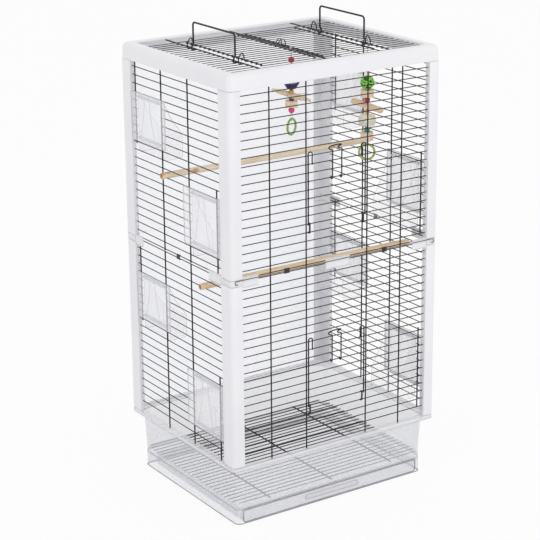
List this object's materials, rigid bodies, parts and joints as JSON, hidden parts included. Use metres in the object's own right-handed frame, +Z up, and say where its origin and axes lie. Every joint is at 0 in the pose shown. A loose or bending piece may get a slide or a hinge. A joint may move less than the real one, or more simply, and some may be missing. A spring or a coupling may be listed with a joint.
{
  "type": "tabletop bird cage",
  "caption": "Tall two-section wire bird cage with white corner posts, folding doors, tilting clear feeders, opening roof, perches, hanging toys and a clear base with a drawer.",
  "frame": {"origin": "middle of the base tray's underside, on the table", "axes": "+Z up, front with the doors and the drawer at -Y, +X to the right seen from the front"},
  "size_m": [0.468, 0.371, 0.888],
  "materials": {
    "white_plastic": "satin moulded",
    "clear_plastic": "clear moulded, polished",
    "back_sheet": "translucent sheet, satin",
    "dark_wire": "dark grey powder coat, satin",
    "wood": "planed softwood, unfinished",
    "straw": "woven plant fibre",
    "loofah": "open fibrous sponge",
    "green_vine": "dyed woven vine",
    "green_ring": "satin",
    "purple_fringe": "crinkled dyed paper strips",
    "toy_beads": "dyed wood, satin"
  },
  "bodies": {
    "frame": {"base_tray": "clear_plastic", "floor_grate": "dark_wire", "upper_post_front_left": "white_plastic", "upper_post_rear_left": "white_plastic", "upper_post_front_right": "white_plastic", "upper_post_rear_right": "white_plastic", "lower_post_front_left": "white_plastic", "lower_post_rear_left": "white_plastic", "lower_post_front_right": "white_plastic", "lower_post_rear_right": "white_plastic", "upper_front_wires": "dark_wire", "upper_left_wires": "dark_wire", "upper_right_wires": "dark_wire", "lower_front_wires": "dark_wire", "lower_left_wires": "dark_wire", "lower_right_wires": "dark_wire", "upper_back_sheet": "back_sheet", "lower_back_sheet": "back_sheet", "joint_corner_front_left": "clear_plastic", "joint_corner_rear_left": "clear_plastic", "joint_corner_front_right": "clear_plastic", "joint_corner_rear_right": "clear_plastic", "joint_centre_clip": "clear_plastic", "joint_rod": "dark_wire", "joint_clip_front_left": "dark_wire", "joint_clip_front_right": "dark_wire", "joint_clip_left": "dark_wire", "joint_clip_right": "dark_wire", "top_ring": "white_plastic", "roof_grille": "dark_wire", "perch_upper": "wood", "perch_lower": "wood"},
    "drawer": {"drawer": "clear_plastic"},
    "upper_door": {"upper_door": "dark_wire"},
    "upper_door_latch": {"upper_door_latch": "dark_wire"},
    "lower_door": {"lower_door": "dark_wire"},
    "lower_door_latch": {"lower_door_latch": "dark_wire"},
    "hatch_left": {"roof_hatch_left": "dark_wire"},
    "handle_left": {"carry_handle_left": "dark_wire"},
    "hatch_right": {"roof_hatch_right": "dark_wire"},
    "handle_right": {"carry_handle_right": "dark_wire"},
    "roof_bail": {"roof_latch_bail": "dark_wire"},
    "feeder_upper_left_rear": {"feeder_upper_left_rear": "clear_plastic"},
    "feeder_upper_left_front": {"feeder_upper_left_front": "clear_plastic"},
    "feeder_upper_right_rear": {"feeder_upper_right_rear": "clear_plastic"},
    "feeder_upper_right_front": {"feeder_upper_right_front": "clear_plastic"},
    "feeder_lower_left_rear": {"feeder_lower_left_rear": "clear_plastic"},
    "feeder_lower_left_front": {"feeder_lower_left_front": "clear_plastic"},
    "feeder_lower_right_rear": {"feeder_lower_right_rear": "clear_plastic"},
    "feeder_lower_right_front": {"feeder_lower_right_front": "clear_plastic"},
    "toy_left": {"toy_left_core": "toy_beads", "toy_left_leaf": "straw", "toy_left_fringe": "purple_fringe"},
    "toy_left_ring": {"toy_left_ring": "green_ring"},
    "toy_right": {"toy_right_core": "toy_beads", "toy_right_stick": "wood", "toy_right_loofah": "loofah", "toy_right_ball": "green_vine"},
    "toy_right_ring": {"toy_right_ring": "green_ring"}
  },
  "joints": [
    {"name": "drawer_slide", "type": "slide", "parent": "frame", "child": "drawer", "axis": [0, -1, 0], "range_m": [0, 0.28]},
    {"name": "upper_door_hinge", "type": "hinge", "parent": "frame", "child": "upper_door", "pos_m": [0, -0.1788, 0.5383], "axis": [1, 0, 0], "range_deg": [0, 90]},
    {"name": "upper_latch_pivot", "type": "hinge", "parent": "upper_door", "child": "upper_door_latch", "pos_m": [0, -0.1788, 0.6319], "axis": [1, 0, 0], "range_deg": [0, 35]},
    {"name": "lower_door_hinge", "type": "hinge", "parent": "frame", "child": "lower_door", "pos_m": [0, -0.1788, 0.1908], "axis": [1, 0, 0], "range_deg": [0, 90]},
    {"name": "lower_latch_pivot", "type": "hinge", "parent": "lower_door", "child": "lower_door_latch", "pos_m": [0, -0.1788, 0.2844], "axis": [1, 0, 0], "range_deg": [0, 35]},
    {"name": "hatch_left_hinge", "type": "hinge", "parent": "frame", "child": "hatch_left", "pos_m": [-0.14, 0, 0.8384], "axis": [0, -1, 0], "range_deg": [0, 75]},
    {"name": "handle_left_hinge", "type": "hinge", "parent": "frame", "child": "handle_left", "pos_m": [-0.14, 0, 0.8384], "axis": [0, -1, 0], "range_deg": [0, 85]},
    {"name": "hatch_right_hinge", "type": "hinge", "parent": "frame", "child": "hatch_right", "pos_m": [0.14, 0, 0.8384], "axis": [0, 1, 0], "range_deg": [0, 75]},
    {"name": "handle_right_hinge", "type": "hinge", "parent": "frame", "child": "handle_right", "pos_m": [0.14, 0, 0.8384], "axis": [0, 1, 0], "range_deg": [0, 85]},
    {"name": "roof_bail_hinge", "type": "hinge", "parent": "hatch_right", "child": "roof_bail", "pos_m": [0.008, 0, 0.8384], "axis": [0, 1, 0], "range_deg": [0, 80]},
    {"name": "feeder_upper_left_rear_tilt", "type": "hinge", "parent": "frame", "child": "feeder_upper_left_rear", "pos_m": [-0.2228, 0.09125, 0.6631], "axis": [0, -1, 0], "range_deg": [0, 40]},
    {"name": "feeder_upper_left_front_tilt", "type": "hinge", "parent": "frame", "child": "feeder_upper_left_front", "pos_m": [-0.2228, -0.09125, 0.5071], "axis": [0, -1, 0], "range_deg": [0, 40]},
    {"name": "feeder_upper_right_rear_tilt", "type": "hinge", "parent": "frame", "child": "feeder_upper_right_rear", "pos_m": [0.2228, 0.09125, 0.6631], "axis": [0, 1, 0], "range_deg": [0, 40]},
    {"name": "feeder_upper_right_front_tilt", "type": "hinge", "parent": "frame", "child": "feeder_upper_right_front", "pos_m": [0.2228, -0.09125, 0.5071], "axis": [0, 1, 0], "range_deg": [0, 40]},
    {"name": "feeder_lower_left_rear_tilt", "type": "hinge", "parent": "frame", "child": "feeder_lower_left_rear", "pos_m": [-0.2228, 0.09125, 0.3156], "axis": [0, -1, 0], "range_deg": [0, 40]},
    {"name": "feeder_lower_left_front_tilt", "type": "hinge", "parent": "frame", "child": "feeder_lower_left_front", "pos_m": [-0.2228, -0.09125, 0.1596], "axis": [0, -1, 0], "range_deg": [0, 40]},
    {"name": "feeder_lower_right_rear_tilt", "type": "hinge", "parent": "frame", "child": "feeder_lower_right_rear", "pos_m": [0.2228, 0.09125, 0.3156], "axis": [0, 1, 0], "range_deg": [0, 40]},
    {"name": "feeder_lower_right_front_tilt", "type": "hinge", "parent": "frame", "child": "feeder_lower_right_front", "pos_m": [0.2228, -0.09125, 0.1596], "axis": [0, 1, 0], "range_deg": [0, 40]},
    {"name": "toy_left_swing", "type": "hinge", "parent": "frame", "child": "toy_left", "pos_m": [0, -0.03875, 0.8384], "axis": [0, 1, 0], "range_deg": [-15, 15]},
    {"name": "toy_left_ring_swing", "type": "hinge", "parent": "toy_left", "child": "toy_left_ring", "pos_m": [0, -0.03875, 0.70898], "axis": [0.9063, 0.4226, 0], "range_deg": [-20, 20]},
    {"name": "toy_right_swing", "type": "hinge", "parent": "frame", "child": "toy_right", "pos_m": [0.166, -0.0465, 0.8364], "axis": [1, 0, 0], "range_deg": [-15, 15]},
    {"name": "toy_right_ring_swing", "type": "hinge", "parent": "toy_right", "child": "toy_right_ring", "pos_m": [0.166, -0.0465, 0.63797], "axis": [0.8387, -0.5446, 0], "range_deg": [-20, 20]}
  ]
}
